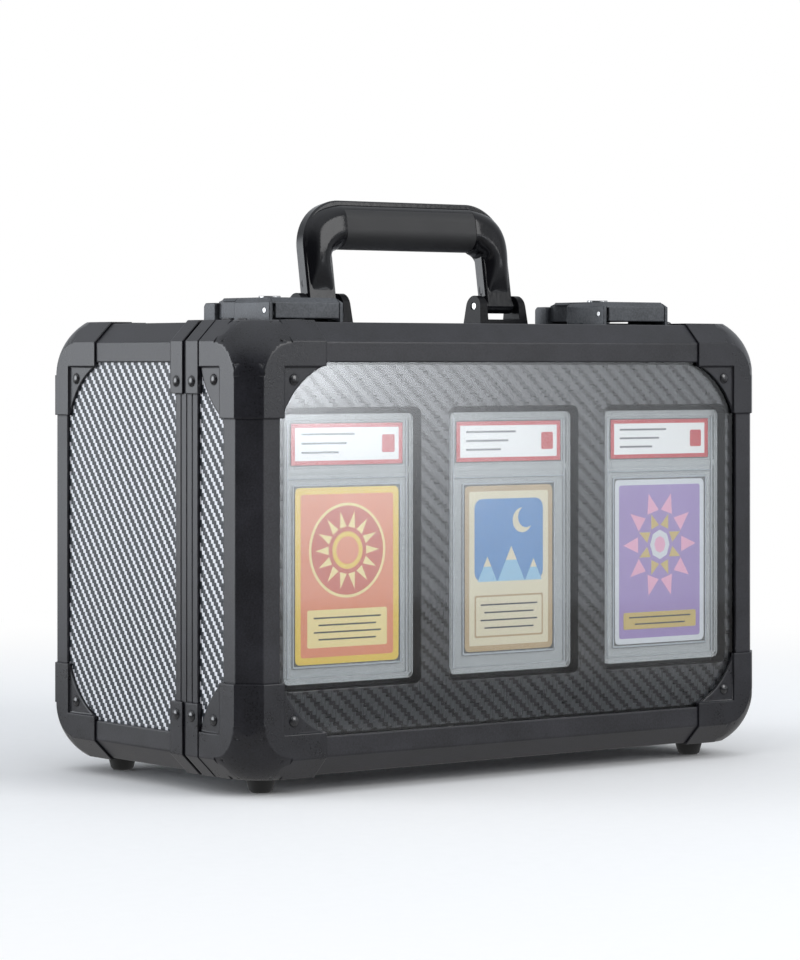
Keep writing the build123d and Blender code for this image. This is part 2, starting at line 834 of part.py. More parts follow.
def lock_cylinder():
    """Key cylinder with its flange, keyway and cam; unlocked, with the cam to the side."""
    rise = latch_top + lock_seat_play
    flange = Location((0, lock_depth, rise + lock_flange_rise / 2)) * Cylinder(
        lock_flange / 2, lock_flange_rise
    )
    low = latch_top - lock_barrel_length
    middle = (low + rise) / 2
    lock = flange + rod((0, lock_depth, middle), "z", lock_barrel / 2, rise - low)
    cam_low = low - latch_plate
    half = cam_width / 2
    lock += block(0, cam_reach, lock_depth - half, lock_depth + half, cam_low, low)
    top = rise + lock_flange_rise
    half = keyway_length / 2
    wide = keyway_width / 2
    floor = top - keyway_depth
    return lock - block(-wide, wide, lock_depth - half, lock_depth + half, floor, top + beyond)


hinge_axis = (lid_depth, -hinge_knuckle / 2 - knuckle_play)


def hinge_knuckles(owner):
    """Start and end along x of each knuckle of one leaf."""
    third = hinge_width / 3
    half = hinge_width / 2
    gap = knuckle_play / 2
    if owner == "lid":
        return [(-half, -half + third - gap), (half - third + gap, half)]
    return [(-half + third + gap, half - third - gap)]


def hinge_leaf_part(x, owner):
    """One leaf of a butt hinge below the parting plane."""
    y, z = hinge_axis
    half = hinge_width / 2
    if owner == "lid":
        leaf = block(-half, half, y - hinge_leaf, lid_rear, -hinge_sheet, 0)
        bore = hinge_pin / 2 + pin_play
    else:
        leaf = block(-half, half, main_front, y + hinge_leaf, -hinge_sheet, 0)
        bore = hinge_pin / 2
    other = "main" if owner == "lid" else "lid"
    radius = hinge_knuckle / 2
    for start, end in hinge_knuckles(other):
        room = end - start + 2 * knuckle_play
        leaf -= rod(((start + end) / 2, y, z), "x", radius + knuckle_play, room)
    for start, end in hinge_knuckles(owner):
        leaf += rod(((start + end) / 2, y, z), "x", radius, end - start)
    leaf -= rod((0, y, z), "x", bore, hinge_width + beyond)
    return Location((x, 0, 0)) * leaf


def hinge_pin_part(x):
    return rod((x, *hinge_axis), "x", hinge_pin / 2, hinge_width)


def build():
    """Every node by name; a list is a group of separate solids."""
    nodes = {}
    rear = case_depth
    rear_rivets = case_depth - rivet_inset
    nodes["window"] = face_panel(profile_wall, profile_wall + panel_thickness)
    nodes["rear_panel"] = face_panel(rear - profile_wall - panel_thickness, rear - profile_wall)
    end = rear - panel_edge
    lid_run = (panel_edge, lid_frame_front + panel_bite, panel_edge, rivet_inset)
    main_run = (main_frame_rear - panel_bite, end, end, rear_rivets)
    for name, side in (("left", -1), ("right", 1)):
        nodes["lid_side_panel_" + name] = side_panel(side, *lid_run)
        nodes["main_side_panel_" + name] = side_panel(side, *main_run)
    nodes["lid_top_panel"] = level_panel(True, *lid_run)
    nodes["lid_bottom_panel"] = level_panel(False, *lid_run)
    nodes["main_top_panel"] = level_panel(True, *main_run)
    nodes["main_bottom_panel"] = level_panel(False, *main_run)
    nodes["front_edges"] = face_edges(0, 1)
    nodes["rear_edges"] = face_edges(rear, -1)
    nodes["lid_corner_edges"] = corner_edges(profile_end, lid_frame_front)
    nodes["main_corner_edges"] = corner_edges(main_frame_rear, rear - profile_end)
    nodes["lid_mouth_frame"] = lid_mouth()
    nodes["main_mouth_frame"] = main_mouth()
    far = (cap_border + gusset_pull, cap_border + gusset_pull)
    for name, piece in at_corners(corner_cap(lid_cap_leg, lid_gusset_mid), False).items():
        nodes["front_cap_" + name] = piece
    for name, piece in at_corners(corner_cap(cap_leg, far), True).items():
        nodes["rear_cap_" + name] = piece
    start = main_clip_front
    clip = mouth_clip(start, start + clip_width, main_frame_rear, start + clip_width)
    nodes["main_clips"] = list(at_corners(clip, False).values())
    end = lid_clip_rear
    clip = mouth_clip(end - clip_width, end, end - clip_width, lid_frame_front)
    nodes["lid_clips"] = list(at_corners(clip, False).values())
    nodes["lid_rivets"] = cap_rivets(0, -1, rivet_inset) + clip_rivets(lid_clip_rivet)
    nodes["main_rivets"] = cap_rivets(rear, 1, rear_rivets) + clip_rivets(main_clip_rivet)
    nodes["lid_feet"] = feet(rivet_inset)
    nodes["main_feet"] = feet(rear_rivets)
    nodes["display_tray"] = display_tray()
    pad_front = tray_back + tray_gap
    nodes["tray_pad"] = upright(interior_outline(), pad_front, pad_front + pad_thickness)
    labels = []
    for name, x in slab_places.items():
        card = card_sizes[name]
        nodes["slab_" + name] = slab(x, card)
        place = slab_centre_height - card_drop
        nodes["card_" + name] = slab_insert(x, place, card[0], card[1], card_thickness)
        place = slab_centre_height + label_rise
        labels.append(slab_insert(x, place, label_width, label_height, label_thickness))
    nodes["slab_labels"] = labels
    nodes["foam_insert"] = foam_insert()
    nodes["handle_frame"], nodes["handle_grip"] = handle_parts()
    nodes["handle_pins"] = [handle_pin(-1), handle_pin(1)]
    nodes["latch_pins"] = []
    for name, side in (("left", -1), ("right", 1)):
        shift = Location((side * latch_middle, 0, 0))
        nodes["handle_bracket_" + name] = handle_bracket(side)
        nodes["latch_base_" + name] = shift * latch_base()
        nodes["latch_cover_" + name] = shift * latch_cover()
        nodes["latch_catch_" + name] = shift * latch_catch()
        nodes["lock_cylinder_" + name] = shift * lock_cylinder()
        nodes["latch_pins"].append(shift * latch_pin())
    places = (-hinge_place, hinge_place)
    nodes["hinge_lid_leaves"] = [hinge_leaf_part(x, "lid") for x in places]
    nodes["hinge_main_leaves"] = [hinge_leaf_part(x, "main") for x in places]
    nodes["hinge_pins"] = [hinge_pin_part(x) for x in places]
    return nodes


def write(nodes):
    os.makedirs("parts", exist_ok=True)
    for name, piece in nodes.items():
        solids = piece if isinstance(piece, list) else [piece]
        placed = []
        for part in solids:
            placed.extend((ground * part).solids())
        export_step(Compound(children=placed), "parts/" + name + ".step")


write(build())
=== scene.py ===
import json
from math import cos, pi, radians, sin

import bmesh
import bpy
from bpy.props import FloatProperty, FloatVectorProperty, PointerProperty
from mathutils import Matrix, Vector

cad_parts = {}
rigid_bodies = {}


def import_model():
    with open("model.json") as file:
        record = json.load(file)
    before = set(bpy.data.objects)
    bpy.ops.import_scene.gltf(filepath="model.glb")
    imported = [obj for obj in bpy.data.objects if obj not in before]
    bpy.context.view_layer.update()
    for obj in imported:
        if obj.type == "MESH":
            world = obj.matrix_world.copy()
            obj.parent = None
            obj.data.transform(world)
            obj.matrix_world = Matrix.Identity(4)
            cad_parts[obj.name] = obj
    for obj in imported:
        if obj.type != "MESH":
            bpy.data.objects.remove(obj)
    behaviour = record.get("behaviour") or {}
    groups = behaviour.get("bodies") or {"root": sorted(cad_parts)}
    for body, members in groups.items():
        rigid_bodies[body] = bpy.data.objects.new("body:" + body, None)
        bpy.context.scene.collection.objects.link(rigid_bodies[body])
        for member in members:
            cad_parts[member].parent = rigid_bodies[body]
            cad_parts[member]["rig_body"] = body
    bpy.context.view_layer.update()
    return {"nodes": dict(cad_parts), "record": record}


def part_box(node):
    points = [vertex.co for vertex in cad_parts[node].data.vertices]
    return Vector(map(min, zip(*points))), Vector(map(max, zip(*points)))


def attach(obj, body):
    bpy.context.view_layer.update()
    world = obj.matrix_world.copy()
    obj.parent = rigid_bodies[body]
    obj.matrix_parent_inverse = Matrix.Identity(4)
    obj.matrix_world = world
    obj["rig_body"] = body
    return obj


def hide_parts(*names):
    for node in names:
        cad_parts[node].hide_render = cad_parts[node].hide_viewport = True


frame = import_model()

bl_info = {
    "name": "Graded card case",
    "version": (1, 0, 0),
    "blender": (4, 5, 0),
    "location": "View3D > Sidebar > Card case",
    "description": "Finishes, cards, foam and studio for a clear fronted carry case",
    "category": "Object",
}

MM = 0.001

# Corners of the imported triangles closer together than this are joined.
MERGE = 0.00001
# The same for a corner cap, whose rounded corner comes as very small triangles.
BALL_MERGE = 0.00035
# Neighbouring triangles that turn by less than this are one face.
FLAT = radians(0.6)
# Edges that turn by more than this are sharp.
SHARP = radians(33)

# Depth of the sunk webs of a corner cap, and how near an edge lies to one.
WEB_DEPTH = 1.2 * MM
WEB_NEAR = 0.02 * MM
# Inward turn, in radians, from which an edge belongs to the step round a web.
STEP_FOLD = -1.2

# The usual range of what a noise gives.
NOISE_LOW = 0.3
NOISE_HIGH = 0.7

# Woven pattern: tows in one repeat, and the noise that draws the fibres in a tow.
TWILL_REPEAT = 4.0
FIBRE_SCALE = 2600.0
FIBRE_STRETCH = 0.06

# Plain black painted into the tray's recesses as painted shade.
RECESS_SHADE_TINT = (0.006, 0.006, 0.007)

# Inks of each card, in the order of these names. A label has the first three.
EDGE, FIELD, PALE, FORM, RULE = range(5)
CARD_TINTS = {
    "left": (
        (0.85, 0.6, 0.08),
        (0.8, 0.27, 0.14),
        (0.92, 0.76, 0.36),
        (0.62, 0.13, 0.08),
        (0.03, 0.03, 0.03),
    ),
    "centre": (
        (0.5, 0.36, 0.2),
        (0.08, 0.25, 0.55),
        (0.75, 0.68, 0.5),
        (0.3, 0.55, 0.75),
        (0.04, 0.04, 0.05),
    ),
    "right": (
        (0.68, 0.7, 0.74),
        (0.34, 0.24, 0.52),
        (0.8, 0.4, 0.56),
        (0.6, 0.45, 0.15),
        (0.04, 0.04, 0.05),
    ),
}
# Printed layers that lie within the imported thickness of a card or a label.
BURIED_LAYERS = 3
# Sides of the printed forms.
TRIANGLE = 3
OCTAGON = 8
SMALL_ROUND = 32
LARGE_ROUND = 40

# Sky for every ray but the camera's. A soft light is full within its inner angle and ends
# at its outer one, both in degrees. A strength below zero takes light away.
SKY_TINT = (0.92, 0.955, 1, 1)
SKY_STRENGTH = 0.66
SOFT_LIGHTS = (
    {"direction": (-0.78, 0.62, 0.1), "inner": 8, "outer": 30, "strength": 5.0},
    {"direction": (0.6, -0.8, -0.06), "inner": 4, "outer": 22, "strength": -0.1},
    {"direction": (-0.2, -0.3, 1.0), "inner": 20, "outer": 60, "strength": 0.5},
    {"direction": (-0.79, -0.61, 0.0), "inner": 28, "outer": 70, "strength": -0.62},
)
GLARE = {"direction": (0.575, -0.818, 0.0), "reach": 0.042, "flatten": 2.0, "strength": 9.3}
LAMPS = (
    {"name": "key light", "spot": (-1.6, -0.9, 2.0), "size": 1.2, "power": 5.0},
    {"name": "fill light", "spot": (0.9, -2.1, 1.2), "size": 1.4, "power": 24.0},
)
LAMP_TARGET = (0, 0, 0.12)

FLOOR_RADIUS = 1.4
FLOOR_GRAIN = 120.0
FLOOR_TINTS = ((0.93, 0.93, 0.93), (0.96, 0.96, 0.96))

# The camera stands as the one that took the photograph.
EYE_SPOT = (-1.169435, -1.517658, 0.215063)
EYE_TURN = radians(-37.44)
EYE_LENS = 132.81
EYE_SHIFT = -0.1211
EYE_NEAREST = 0.05


def length(name, description, default):
    """A size in metres that shows as a length in the panel."""
    return FloatProperty(
        name=name, description=description, default=default, subtype="DISTANCE", unit="LENGTH"
    )


def colour(name, description, default):
    """A linear colour that shows as a swatch in the panel."""
    return FloatVectorProperty(
        name=name, description=description, default=default, subtype="COLOR", size=3, min=0, max=1
    )


class CaseSizes(bpy.types.PropertyGroup):
    """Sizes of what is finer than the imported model."""
    profile_edge: length("Profile edge", "Rounding of the folded profiles", 0.0004)
    latch_edge: length("Latch edge", "Rounding of the cast latch pieces", 0.0005)
    handle_edge: length("Handle edge", "Rounding of the moulded handle", 0.0008)
    slab_edge: length("Slab edge", "Rounding of the clear slabs", 0.0004)
    panel_edge: length("Panel edge", "Rounding of the cut panels", 0.0003)
    rivet_radius: length("Rivet radius", "Radius of a rivet's domed head", 0.0029)
    rivet_rise: length("Rivet rise", "Height of a rivet's domed head", 0.0013)
    side_tow: length("Side tow", "Width of one tow of the woven panels", 0.00158)
    side_tow_rise: length("Side tow rise", "Spacing of the tows that run level", 0.00193)
    tray_tow: length("Tray tow", "Width of one tow of the woven tray", 0.00237)
    tray_tow_rise: length("Tray tow rise", "Spacing of the tray's level tows", 0.0021)
    light_share: FloatProperty(
        name="Light share", description="Share of the light tows in the woven panels",
        default=0.37, min=0.1, max=0.9, subtype="FACTOR",
    )
    soft_edge: length("Soft edge", "Reach of the soft shading over the edges of the black parts", 0.0009)
    # Painted shade: the gloss of the black parts is lowered in seams and steps within this reach.
    seam_shade: length("Seam shade", "Reach of the dark tone in seams and steps", 0.0012)
    print_layer: length("Print layer", "Thickness of one printed layer on a card", 0.00004)
    foam_round: length("Foam round", "Rounding of the cut edges of the foam", 0.0016)


class CaseColours(bpy.types.PropertyGroup):
    """Colours of the finishes, all linear."""
    profile: colour("Profile", "Black coated profiles", (0.015, 0.0148, 0.019))
    steel: colour("Pressed steel", "Black caps and clips", (0.0125, 0.0124, 0.016))
    rivet: colour("Rivet", "Dark domed rivets", (0.012, 0.012, 0.014))
    # Painted reflection: the light tows are painted white-silver where the real tows glint in the light.
    tow_sheen: colour("Light tow", "Silvered tows of the panels", (0.78, 0.79, 0.83))
    tow_dark: colour("Dark tow", "Dark tows of the panels", (0.034, 0.04, 0.048))
    # Painted reflection: the tray's lighter tows are painted lighter where the real tows catch more
    # light.
    tray_tow_sheen: colour("Tray light tow", "Lighter tows of the tray", (0.043, 0.0455, 0.0515))
    tray_dark: colour("Tray dark tow", "Darker tows of the tray", (0.004, 0.0045, 0.006))
    latch: colour("Latch", "Cast grey latches", (0.075, 0.08, 0.088))
    bracket: colour("Bracket", "Dark handle brackets", (0.007, 0.007, 0.0085))
    handle: colour("Handle", "Glossy moulded handle", (0.006, 0.006, 0.0075))
    grip: colour("Grip", "Matt sleeve on the handle", (0.02, 0.02, 0.021))
    rubber: colour("Rubber", "Feet", (0.012, 0.012, 0.012))
    foam: colour("Foam", "Closed cell foam", (0.03, 0.03, 0.032))
    bright: colour("Bright steel", "Pins and lock faces", (0.6, 0.6, 0.6))
    window: colour("Window", "Clear window plastic", (0.98, 0.985, 0.985))
    slab: colour("Slab", "Clear slab plastic", (0.965, 0.975, 0.985))
    label_border: colour("Label border", "Edge of the slab labels", (0.55, 0.02, 0.03))
    label_paper: colour("Label paper", "Field of the slab labels", (0.88, 0.88, 0.88))
    ink: colour("Ink", "Plain rules on the labels", (0.16, 0.16, 0.18))
    # Painted highlight: light lines stand in for the light that the slabs' moulded edges catch.
    slab_highlight: colour("Slab line", "Moulded lines inside the slabs", (0.5, 0.54, 0.6))


class Wiring:
    """A node tree under construction, with short names for its nodes."""

    def __init__(self, tree, coordinates):
        self.tree = tree
        self.place = self.add("ShaderNodeTexCoord").outputs[coordinates]

    def add(self, kind, **settings):
        node = self.tree.nodes.new(kind)
        for key, value in settings.items():
            setattr(node, key, value)
        return node

    def feed(self, socket, source):
        if isinstance(source, bpy.types.NodeSocket):
            self.tree.links.new(source, socket)
        else:
            socket.default_value = source

    def feed_all(self, node, sources):
        for socket, source in zip(node.inputs, sources):
            self.feed(socket, source)

    def math(self, operation, *values):
        node = self.add("ShaderNodeMath", operation=operation)
        self.feed_all(node, values)
        return node.outputs[0]

    def vector(self, operation, *values):
        node = self.add("ShaderNodeVectorMath", operation=operation)
        self.feed_all(node, values)
        return node.outputs

    def axes(self):
        """The place as separate outputs named X, Y and Z."""
        node = self.add("ShaderNodeSeparateXYZ")
        self.feed(node.inputs[0], self.place)
        return node.outputs

    def noise(self, scale, detail, stretch=(1, 1, 1)):
        mapping = self.add("ShaderNodeMapping")
        mapping.inputs["Scale"].default_value = stretch
        self.feed(mapping.inputs["Vector"], self.place)
        node = self.add("ShaderNodeTexNoise")
        node.inputs["Scale"].default_value = scale
        node.inputs["Detail"].default_value = detail
        self.feed(node.inputs["Vector"], mapping.outputs["Vector"])
        return node.outputs["Fac"]

    def spread(self, value, low, high, to_low, to_high, smooth=False):
        """Carries a value from one range to another and holds it there."""
        node = self.add("ShaderNodeMapRange")
        if smooth:
            node.interpolation_type = "SMOOTHSTEP"
        self.feed_all(node, (value, low, high, to_low, to_high))
        return node.outputs["Result"]

    def from_noise(self, noise, to_low, to_high):
        return self.spread(noise, NOISE_LOW, NOISE_HIGH, to_low, to_high)

    def mix(self, factor, first, second):
        """A colour between two."""
        node = self.add("ShaderNodeMix", data_type="RGBA")
        self.feed(node.inputs["Factor"], factor)
        tinted = [socket for socket in node.inputs if socket.type == "RGBA"]
        for socket, tint in zip(tinted, (first, second)):
            self.feed(socket, tint if isinstance(tint, bpy.types.NodeSocket) else (*tint, 1))
        return [socket for socket in node.outputs if socket.type == "RGBA"][0]

    def choose(self, factor, first, second):
        """A number between two."""
        node = self.add("ShaderNodeMix", data_type="FLOAT")
        for name, source in (("Factor", factor), ("A", first), ("B", second)):
            self.feed(node.inputs[name], source)
        return node.outputs[0]

    def blend(self, factor, first, second):
        """A shader between two."""
        node = self.add("ShaderNodeMixShader")
        self.feed_all(node, (factor, first, second))
        return node.outputs[0]


class Recipe(Wiring):
    """One material under construction, with its pattern on the piece's own place."""

    def __init__(self, name):
        self.material = bpy.data.materials.new(name)
        self.material.use_nodes = True
        super().__init__(self.material.node_tree, "Object")
        self.shader = self.tree.nodes["Principled BSDF"]
        self.output = self.tree.nodes["Material Output"]

    def set(self, name, source):
        self.feed(self.shader.inputs[name], source)

    def show(self, shader):
        self.feed(self.output.inputs["Surface"], shader)

    def bump(self, height, distance, edge=0.0):
        """Relief in the shading, and edges that look rounded by a radius."""
        node = self.add("ShaderNodeBump")
        node.inputs["Distance"].default_value = distance
        self.feed(node.inputs["Height"], height)
        if edge:
            rounded = self.add("ShaderNodeBevel", samples=8)
            rounded.inputs["Radius"].default_value = edge
            self.feed(node.inputs["Normal"], rounded.outputs["Normal"])
        self.set("Normal", node.outputs["Normal"])


def shade(tint, factor):
    """The same colour made darker or lighter."""
    return tuple(min(1.0, channel * factor) for channel in tint)


def grained(
    name, tint, roughness, grain, depth,
    metallic=0.0, spread=0.2, shade_reach=0.0, shine=0.5, edge=0.0,
):
    """Coated or moulded surface with fine grain, uneven gloss and faint clouding, and painted shade in
    its crevices when a reach is given.
    """
    cloud_scale = 60.0
    grain_share = 0.6
    uneven = 0.15
    shaded_shine = 0.04
    recipe = Recipe(name)
    fine = recipe.noise(grain, detail=4.0)
    cloud = recipe.noise(cloud_scale, detail=2.0)
    grain_part = recipe.math("MULTIPLY", fine, grain_share)
    cloud_part = recipe.math("MULTIPLY", cloud, 1 - grain_share)
    both = recipe.math("ADD", grain_part, cloud_part)
    factor = recipe.spread(both, low=0.35, high=0.65, to_low=0.0, to_high=1.0)
    recipe.set("Base Color", recipe.mix(factor, shade(tint, 1 - spread), shade(tint, 1 + spread)))
    gloss = recipe.from_noise(both, roughness * (1 - uneven), roughness * (1 + uneven))
    recipe.set("Roughness", gloss)
    recipe.set("Metallic", metallic)
    recipe.set("Specular IOR Level", shine)
    # Painted shade: an ambient occlusion node lowers the gloss in crevices, seams and steps, where shade
    # falls.
    if shade_reach:
        occlusion = recipe.add("ShaderNodeAmbientOcclusion", samples=8)
        occlusion.inputs["Distance"].default_value = shade_reach
        open_share = occlusion.outputs["AO"]
        seams = recipe.spread(open_share, low=0.45, high=0.95, to_low=shaded_shine, to_high=shine)
        recipe.set("Specular IOR Level", seams)
    recipe.bump(fine, depth, edge)


def woven(name, axes, tows, light, dark, gloss, depth, share, tow_shade_tone, lean="SUBTRACT"):
    """Twill of flat tows in stairs that lean either way, with a share of each repeat given a lighter
    tint as painted reflection, and each tow painted darker towards its edges as painted shade.
    """
    tow_shade_width = 0.42
    fibre_relief = 0.2
    recipe = Recipe(name)
    place = recipe.axes()
    across = recipe.math("DIVIDE", place[axes[0]], tows[0])
    up = recipe.math("DIVIDE", place[axes[1]], tows[1])
    row = recipe.math("FLOOR", up)
    stair = recipe.math("FLOORED_MODULO", recipe.math(lean, across, row), TWILL_REPEAT)
    recipe.over = recipe.math("LESS_THAN", stair, TWILL_REPEAT * share)
    crowns = []
    for tow in (up, across):
        along = recipe.math("FRACT", tow)
        crowns.append(recipe.math("SINE", recipe.math("MULTIPLY", along, pi)))
    crown = recipe.choose(recipe.over, *crowns)
    fibres = []
    for axis in axes:
        stretch = [1, 1, 1]
        stretch["XYZ".index(axis)] = FIBRE_STRETCH
        fibres.append(recipe.noise(FIBRE_SCALE, detail=2.0, stretch=stretch))
    fibre = recipe.choose(recipe.over, *fibres)
    # Painted reflection: the tows that lie over get the light tint in place of their glint.
    body = recipe.mix(recipe.over, dark, light)
    # Painted shade: each tow is painted darker towards its edges, for the shade of its rounding.
    tow_shade = recipe.spread(crown, 0.0, tow_shade_width, tow_shade_tone, 1.0, smooth=True)
    shadow = recipe.add("ShaderNodeVectorMath", operation="SCALE")
    recipe.feed(shadow.inputs[0], body)
    tone = recipe.math("MULTIPLY", tow_shade, recipe.from_noise(fibre, to_low=0.86, to_high=1.1))
    recipe.feed(shadow.inputs["Scale"], tone)
    recipe.set("Base Color", shadow.outputs["Vector"])
    recipe.set("Roughness", recipe.from_noise(fibre, to_low=gloss * 0.85, to_high=gloss * 1.2))
    recipe.set("Specular IOR Level", 0.3)
    height = recipe.math("ADD", crown, recipe.math("MULTIPLY", fibre, fibre_relief))
    recipe.bump(height, depth)
    return recipe


def lacquered_tray(recipe, tray_face):
    """Clear lacquer over the tray's weave, and plain black painted in the recesses behind its face as
    painted shade.
    """
    start = tray_face + 0.2 * MM
    end = tray_face + 0.5 * MM
    dark_tow_coat = 0.45
    # Painted shade: every surface behind the tray's face gets plain black and no lacquer.
    sunk = recipe.spread(recipe.axes()["Y"], start, end, 0.0, 1.0)
    woven_tint = recipe.shader.inputs["Base Color"].links[0].from_socket
    recipe.set("Base Color", recipe.mix(sunk, woven_tint, RECESS_SHADE_TINT))
    lacquer = recipe.spread(recipe.over, 0.0, 1.0, to_low=dark_tow_coat, to_high=1.0)
    recipe.set("Coat Weight", recipe.math("MULTIPLY", lacquer, recipe.math("SUBTRACT", 1.0, sunk)))
    recipe.set("Coat Roughness", 0.09)
    recipe.set("Coat IOR", 1.6)


def clear(name, tint, roughness, depth, shadow_tint, hazes=()):
    """Clear plastic that lets the lamps through, cloudy at some depths from the front."""
    ripple_scale = 14.0
    rub_scale = 900.0
    rub_relief = 0.05
    uneven = 0.2
    recipe = Recipe(name)
    ripple = recipe.noise(ripple_scale, detail=2.0)
    rub = recipe.noise(rub_scale, detail=3.0)
    recipe.set("Base Color", (*tint, 1))
    gloss = recipe.from_noise(rub, roughness * (1 - uneven), roughness * (1 + uneven))
    recipe.set("Roughness", gloss)
    recipe.set("IOR", 1.46)
    passed = 1.0
    for start, end, amount in hazes:
        cloudy = recipe.spread(recipe.axes()["Y"], start, end, 0.0, amount)
        passed = recipe.math("SUBTRACT", passed, cloudy)
    recipe.set("Transmission Weight", passed)
    height = recipe.math("ADD", ripple, recipe.math("MULTIPLY", rub, rub_relief))
    recipe.bump(height, depth)
    passing = recipe.add("ShaderNodeBsdfTransparent")
    passing.inputs["Color"].default_value = (*shadow_tint, 1)
    for_lamps = recipe.add("ShaderNodeLightPath").outputs["Is Shadow Ray"]
    recipe.show(recipe.blend(for_lamps, recipe.shader.outputs[0], passing.outputs[0]))


def printed(name, tint):
    """Printed card with a soft laminate gloss and slight ink mottle."""
    mottle_scale = 2200.0
    mottle = 0.06
    relief = 0.01 * MM
    recipe = Recipe(name)
    fine = recipe.noise(mottle_scale, detail=3.0)
    factor = recipe.from_noise(fine, to_low=0.0, to_high=1.0)
    recipe.set("Base Color", recipe.mix(factor, shade(tint, 1 - mottle), shade(tint, 1 + mottle)))
    recipe.set("Roughness", recipe.from_noise(fine, to_low=0.42, to_high=0.58))
    recipe.set("Coat Weight", 0.25)
    recipe.bump(fine, relief)
    return recipe.material


slot_of = {part["node"]: part["material_slot"] for part in frame["record"]["subparts"]}
body_of = {node: item["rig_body"] for node, item in frame["nodes"].items()}


def sizes():
    """The sizes as the panel holds them."""
    return bpy.context.scene.case_sizes


def colours():
    """The colours as the panel holds them."""
    return bpy.context.scene.case_colours


def finish_named(name):
    """A material made before by its operator."""
    return bpy.data.materials[name]


def add_piece(name, mesh, body, slot, *materials, smooth=True):
    """Turns a bmesh into an object that rides on a body."""
    data = bpy.data.meshes.new(name)
    mesh.to_mesh(data)
    mesh.free()
    for face in data.polygons:
        face.use_smooth = smooth
    for material in materials:
        data.materials.append(material)
    piece = bpy.data.objects.new(name, data)
    bpy.context.scene.collection.objects.link(piece)
    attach(piece, body)
    return piece


def round_edges(piece, width, segments):
    """Small rounded edge wherever two faces meet at an angle."""
    edge = piece.modifiers.new("rounded edges", "BEVEL")
    edge.width = width
    edge.segments = segments
    edge.limit_method = "ANGLE"
    edge.angle_limit = SHARP
    # At outer corners an arc folds over itself with three segments, and a sharp miter with two.
    edge.miter_outer = "MITER_SHARP" if segments > 2 else "MITER_ARC"


def even_shading(piece):
    """Flat faces stay flat to the light beside curved ones."""
    even = piece.modifiers.new("even shading", "WEIGHTED_NORMAL")
    even.mode = "FACE_AREA"
    even.weight = 100
    even.keep_sharp = True


def merged_copy(node, reach=MERGE):
    """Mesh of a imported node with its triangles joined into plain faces."""
    mesh = bmesh.new()
    mesh.from_mesh(frame["nodes"][node].data)
    bmesh.ops.remove_doubles(mesh, verts=mesh.verts, dist=reach)
    bmesh.ops.dissolve_limit(
        mesh, angle_limit=FLAT, use_dissolve_boundaries=False,
        verts=mesh.verts, edges=mesh.edges, delimit=set(),
    )
    for edge in mesh.edges:
        edge.smooth = len(edge.link_faces) == 2 and edge.calc_face_angle(0.0) < SHARP
    return mesh


def draw_steps(mesh, node):
    """Slopes the step round each sunk web of a corner cap, as pressing leaves it."""
    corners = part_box(node)
    edges = set()
    for axis in range(3):
        webs = [corners[0][axis] + WEB_DEPTH, corners[1][axis] - WEB_DEPTH]
        for edge in mesh.edges:
            if len(edge.link_faces) != 2 or edge.calc_face_angle_signed(0.0) > STEP_FOLD:
                continue
            for web in webs:
                if max(abs(vert.co[axis] - web) for vert in edge.verts) < WEB_NEAR:
                    edges.add(edge)
    bmesh.ops.bevel(
        mesh, geom=list(edges), offset=WEB_DEPTH / 2, segments=1, profile=0.5,
        affect="EDGES", material=-1, clamp_overlap=True,
    )


def dressed(node, finish, width, segments=2, shaping=None, reach=MERGE):
    """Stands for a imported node, with its shape, and with rounded edges if they have a width."""
    mesh = merged_copy(node, reach)
    if shaping:
        shaping(mesh, node)
    piece = add_piece("dressed_" + node, mesh, body_of[node], slot_of[node], finish_named(finish))
    if width:
        round_edges(piece, width, segments)
    even_shading(piece)
    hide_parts(node)
    return piece


